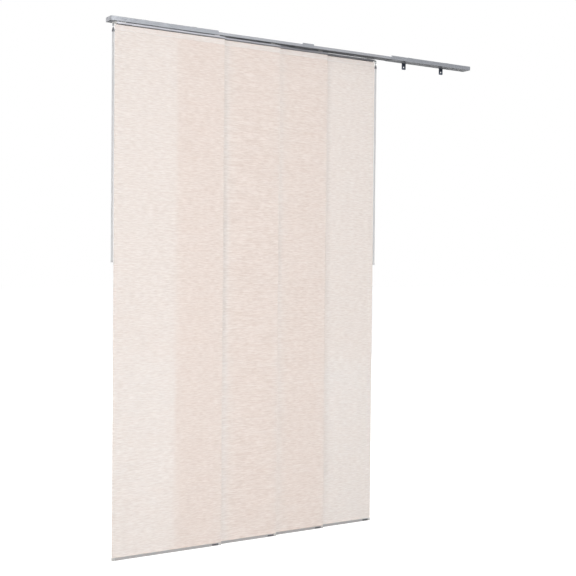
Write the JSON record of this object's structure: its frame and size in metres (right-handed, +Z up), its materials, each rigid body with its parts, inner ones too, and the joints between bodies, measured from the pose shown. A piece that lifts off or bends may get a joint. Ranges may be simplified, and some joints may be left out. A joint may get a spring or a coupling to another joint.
{
  "type": "panel track blind",
  "caption": "Wall-mounted panel track blind: cream woven panels slide side by side under a telescoping channelled aluminium track, drawn by hanging pull wands.",
  "frame": {"origin": "on the wall, in the middle of the line of wall screw holes in the brackets", "axes": "+X along the track to the right seen from the room, +Y back to the wall, +Z up"},
  "size_m": [2.14, 0.0615, 2.4756],
  "materials": {
    "rail_aluminium": "satin silver anodised extrusion",
    "inner_aluminium": "satin silver anodised extrusion",
    "end_cap": "moulded grey plastic",
    "bracket_steel": "dark blue-grey painted steel",
    "carrier_aluminium": "satin silver extrusion",
    "nylon": "white nylon",
    "tape": "dark grey touch-fastener tape",
    "fabric": "cream woven fabric with fine horizontal slubs",
    "bottom_bar": "satin grey extrusion",
    "bar_cap": "light grey plastic",
    "wire": "dark plated steel wire",
    "dark_plastic": "dark grey plastic",
    "wand_rod": "light grey plastic rod"
  },
  "bodies": {
    "left_rail": {"left_outer_rail": "rail_aluminium", "left_end_cap": "end_cap", "wall_bracket_1": "bracket_steel", "wall_bracket_2": "bracket_steel"},
    "centre_rails": {"inner_rail_1": "inner_aluminium", "inner_rail_2": "inner_aluminium", "inner_rail_3": "inner_aluminium", "inner_rail_4": "inner_aluminium", "centre_sleeve": "rail_aluminium"},
    "right_rail": {"right_outer_rail": "rail_aluminium", "right_end_cap": "end_cap", "wall_bracket_3": "bracket_steel", "wall_bracket_4": "bracket_steel"},
    "panel_1": {"panel_1_carrier": "carrier_aluminium", "panel_1_left_glider": "nylon", "panel_1_right_glider": "nylon", "panel_1_tape": "tape", "panel_1_fabric": "fabric", "panel_1_bottom_rail": "bottom_bar", "panel_1_bottom_left_cap": "bar_cap", "panel_1_bottom_right_cap": "bar_cap", "left_wand_ear": "bar_cap"},
    "panel_2": {"panel_2_carrier": "carrier_aluminium", "panel_2_left_glider": "nylon", "panel_2_right_glider": "nylon", "panel_2_tape": "tape", "panel_2_fabric": "fabric", "panel_2_bottom_rail": "bottom_bar", "panel_2_bottom_left_cap": "bar_cap", "panel_2_bottom_right_cap": "bar_cap"},
    "panel_3": {"panel_3_carrier": "carrier_aluminium", "panel_3_left_glider": "nylon", "panel_3_right_glider": "nylon", "panel_3_tape": "tape", "panel_3_fabric": "fabric", "panel_3_bottom_rail": "bottom_bar", "panel_3_bottom_left_cap": "bar_cap", "panel_3_bottom_right_cap": "bar_cap"},
    "panel_4": {"panel_4_carrier": "carrier_aluminium", "panel_4_left_glider": "nylon", "panel_4_right_glider": "nylon", "panel_4_tape": "tape", "panel_4_fabric": "fabric", "panel_4_bottom_rail": "bottom_bar", "panel_4_bottom_left_cap": "bar_cap", "panel_4_bottom_right_cap": "bar_cap", "right_wand_ear": "bar_cap"},
    "left_ring": {"left_wand_ring": "wire"},
    "left_wand": {"left_wand_hook": "wire", "left_wand_connector": "dark_plastic", "left_wand_rod": "wand_rod", "left_wand_tip": "wand_rod"},
    "right_ring": {"right_wand_ring": "wire"},
    "right_wand": {"right_wand_hook": "wire", "right_wand_connector": "dark_plastic", "right_wand_rod": "wand_rod", "right_wand_tip": "wand_rod"}
  },
  "joints": [
    {"name": "left_draw", "type": "slide", "parent": "left_rail", "child": "centre_rails", "axis": [1, 0, 0], "range_m": [-0.4785, 0.031]},
    {"name": "right_draw", "type": "slide", "parent": "centre_rails", "child": "right_rail", "axis": [1, 0, 0], "range_m": [-0.4945, 0.015]},
    {"name": "panel_1_slide", "type": "slide", "parent": "left_rail", "child": "panel_1", "axis": [1, 0, 0], "range_m": [-0.0215, 1.5515]},
    {"name": "panel_2_slide", "type": "slide", "parent": "left_rail", "child": "panel_2", "axis": [1, 0, 0], "range_m": [-0.343, 1.23]},
    {"name": "panel_3_slide", "type": "slide", "parent": "left_rail", "child": "panel_3", "axis": [1, 0, 0], "range_m": [-0.637, 0.936]},
    {"name": "panel_4_slide", "type": "slide", "parent": "left_rail", "child": "panel_4", "axis": [1, 0, 0], "range_m": [-0.9485, 0.6245]},
    {"name": "left_wand_side_swing", "type": "hinge", "parent": "panel_1", "child": "left_ring", "pos_m": [-1.0555, -0.05355, 0.00895], "axis": [0, 1, 0], "range_deg": [0, 70]},
    {"name": "left_wand_room_swing", "type": "hinge", "parent": "left_ring", "child": "left_wand", "pos_m": [-1.0555, -0.05355, 0.00435], "axis": [-1, 0, 0], "range_deg": [0, 60]},
    {"name": "right_wand_side_swing", "type": "hinge", "parent": "panel_4", "child": "right_ring", "pos_m": [0.4525, -0.00975, 0.00895], "axis": [0, -1, 0], "range_deg": [0, 70]},
    {"name": "right_wand_room_swing", "type": "hinge", "parent": "right_ring", "child": "right_wand", "pos_m": [0.4525, -0.00975, 0.00435], "axis": [-1, 0, 0], "range_deg": [0, 60]}
  ]
}
